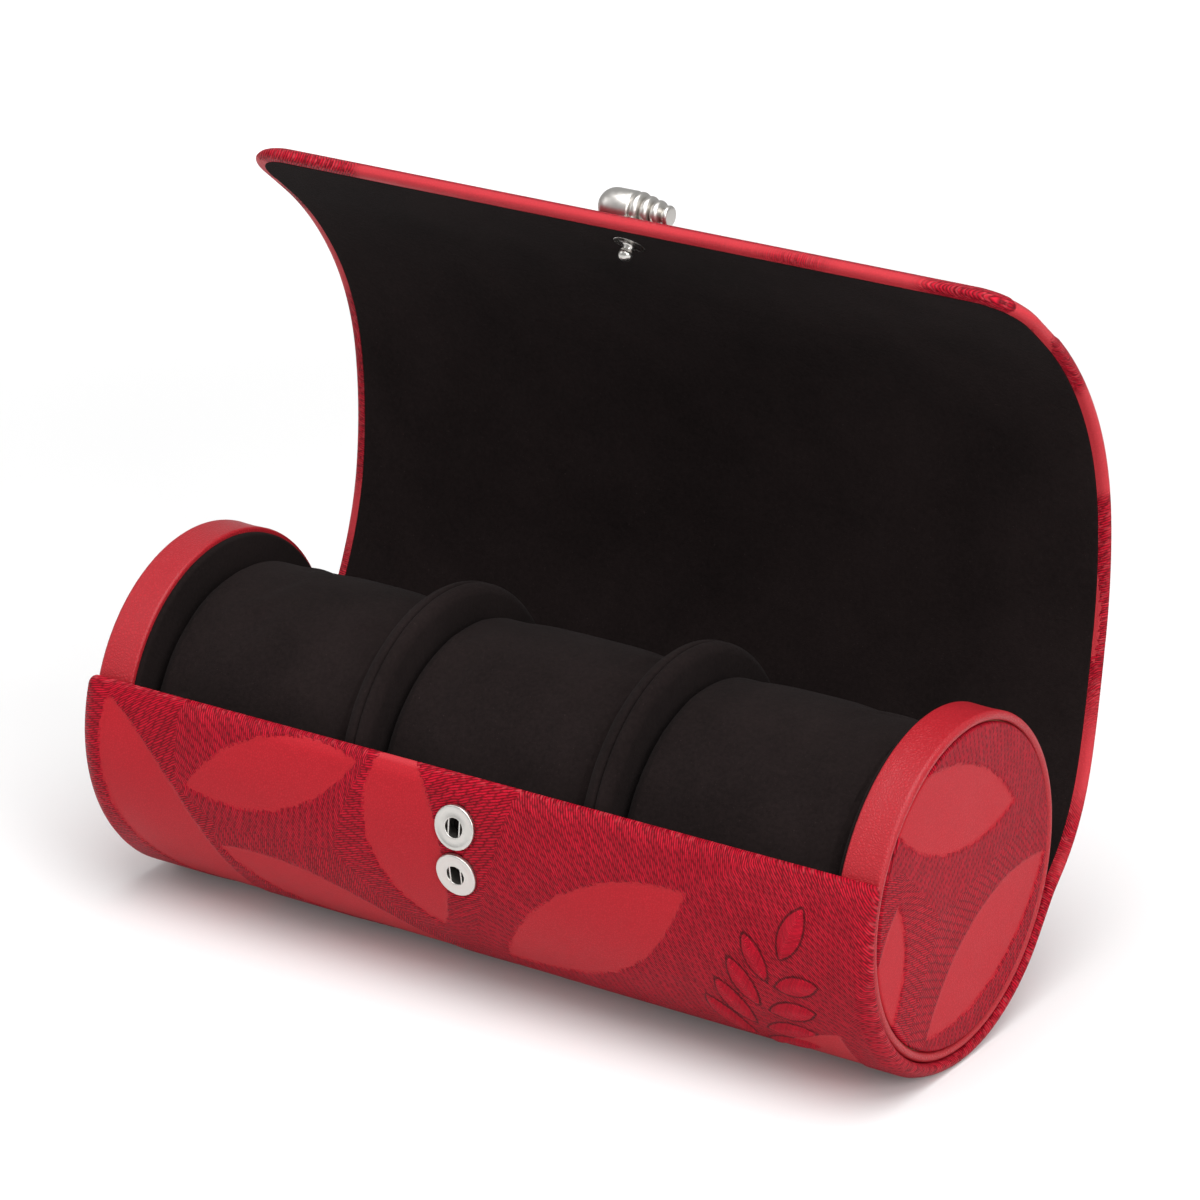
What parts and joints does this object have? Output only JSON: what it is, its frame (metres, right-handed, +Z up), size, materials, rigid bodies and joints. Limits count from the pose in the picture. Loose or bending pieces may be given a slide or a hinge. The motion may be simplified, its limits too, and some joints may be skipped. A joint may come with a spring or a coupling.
{
  "type": "watch roll",
  "caption": "Round leather storage roll for watches, with padded cuffs between dividers and a flexible lid that snaps shut.",
  "frame": {"origin": "middle of the flat strip under the roll on which it rests", "axes": "+X along the roll to its right end, -Y to the front with the two snap sockets, +Z up"},
  "size_m": [0.254, 0.1329, 0.2069],
  "materials": {
    "embroidered_leather": "smooth fine-grained red leather with dense tone-on-tone embroidery",
    "smooth_leather": "smooth fine-grained red leather, semi-matt",
    "black_suede": "black microsuede with a short nap",
    "card": "flexible grey-brown board, hidden",
    "stiff_board": "stiff fibreboard, hidden",
    "foam": "soft open foam, hidden",
    "brushed_metal": "brushed nickel colour with polished beads",
    "polished_metal": "polished nickel plate"
  },
  "bodies": {
    "roll": {"wrap_leather": "embroidered_leather", "wrap_board": "stiff_board", "wrap_lining": "black_suede", "left_cap_core": "stiff_board", "left_cap_rim": "smooth_leather", "left_cap_face": "embroidered_leather", "left_cap_lining": "black_suede", "right_cap_core": "stiff_board", "right_cap_rim": "smooth_leather", "right_cap_face": "embroidered_leather", "right_cap_lining": "black_suede", "left_divider_board": "card", "left_divider_cover": "black_suede", "right_divider_board": "card", "right_divider_cover": "black_suede", "upper_snap_socket": "polished_metal", "upper_snap_spring": "polished_metal", "lower_snap_socket": "polished_metal", "lower_snap_spring": "polished_metal"},
    "left_cuff": {"left_cuff_cover": "black_suede", "left_cuff_foam": "foam", "left_cuff_ends": "black_suede"},
    "middle_cuff": {"middle_cuff_cover": "black_suede", "middle_cuff_foam": "foam", "middle_cuff_ends": "black_suede"},
    "right_cuff": {"right_cuff_cover": "black_suede", "right_cuff_foam": "foam", "right_cuff_ends": "black_suede"},
    "lid_1": {"lid_leather_1": "embroidered_leather", "lid_board_1": "card", "lid_lining_1": "black_suede"},
    "lid_2": {"lid_leather_2": "embroidered_leather", "lid_board_2": "card", "lid_lining_2": "black_suede"},
    "lid_3": {"lid_leather_3": "embroidered_leather", "lid_board_3": "card", "lid_lining_3": "black_suede"},
    "lid_4": {"lid_leather_4": "embroidered_leather", "lid_board_4": "card", "lid_lining_4": "black_suede"},
    "lid_5": {"lid_leather_5": "embroidered_leather", "lid_board_5": "card", "lid_lining_5": "black_suede"},
    "flap": {"flap_leather": "embroidered_leather", "flap_board": "card", "flap_lining": "black_suede", "snap_stud": "polished_metal", "ornament_base": "brushed_metal", "ornament_knob": "brushed_metal"}
  },
  "joints": [
    {"name": "left_cuff_lift", "type": "slide", "parent": "roll", "child": "left_cuff", "axis": [0, 0, -1], "range_m": [-0.095, 0]},
    {"name": "middle_cuff_lift", "type": "slide", "parent": "roll", "child": "middle_cuff", "axis": [0, 0, -1], "range_m": [-0.095, 0]},
    {"name": "right_cuff_lift", "type": "slide", "parent": "roll", "child": "right_cuff", "axis": [0, 0, -1], "range_m": [-0.095, 0]},
    {"name": "lid_hinge", "type": "hinge", "parent": "roll", "child": "lid_1", "pos_m": [0, 0.046, 0.0329], "axis": [1, 0, 0], "range_deg": [0, 35.6]},
    {"name": "lid_flex_1", "type": "hinge", "parent": "lid_1", "child": "lid_2", "pos_m": [0, 0.06642, 0.06], "axis": [1, 0, 0], "range_deg": [0, 16.9]},
    {"name": "lid_flex_2", "type": "hinge", "parent": "lid_2", "child": "lid_3", "pos_m": [0, 0.07487, 0.09325], "axis": [1, 0, 0], "range_deg": [0, 29.9]},
    {"name": "lid_flex_3", "type": "hinge", "parent": "lid_3", "child": "lid_4", "pos_m": [0, 0.07532, 0.12755], "axis": [1, 0, 0], "range_deg": [0, 13.8]},
    {"name": "lid_flex_4", "type": "hinge", "parent": "lid_4", "child": "lid_5", "pos_m": [0, 0.06463, 0.15995], "axis": [1, 0, 0], "range_deg": [0, 17.1]},
    {"name": "snap_flap", "type": "hinge", "parent": "lid_5", "child": "flap", "pos_m": [0, 0.04231, 0.18586], "axis": [1, 0, 0], "range_deg": [0, 25.7]}
  ],
  "couplings": [
    {"joint": "lid_flex_1", "follows": "lid_hinge", "ratio": 0.4747},
    {"joint": "lid_flex_2", "follows": "lid_hinge", "ratio": 0.8398},
    {"joint": "lid_flex_3", "follows": "lid_hinge", "ratio": 0.3876},
    {"joint": "lid_flex_4", "follows": "lid_hinge", "ratio": 0.4803}
  ]
}
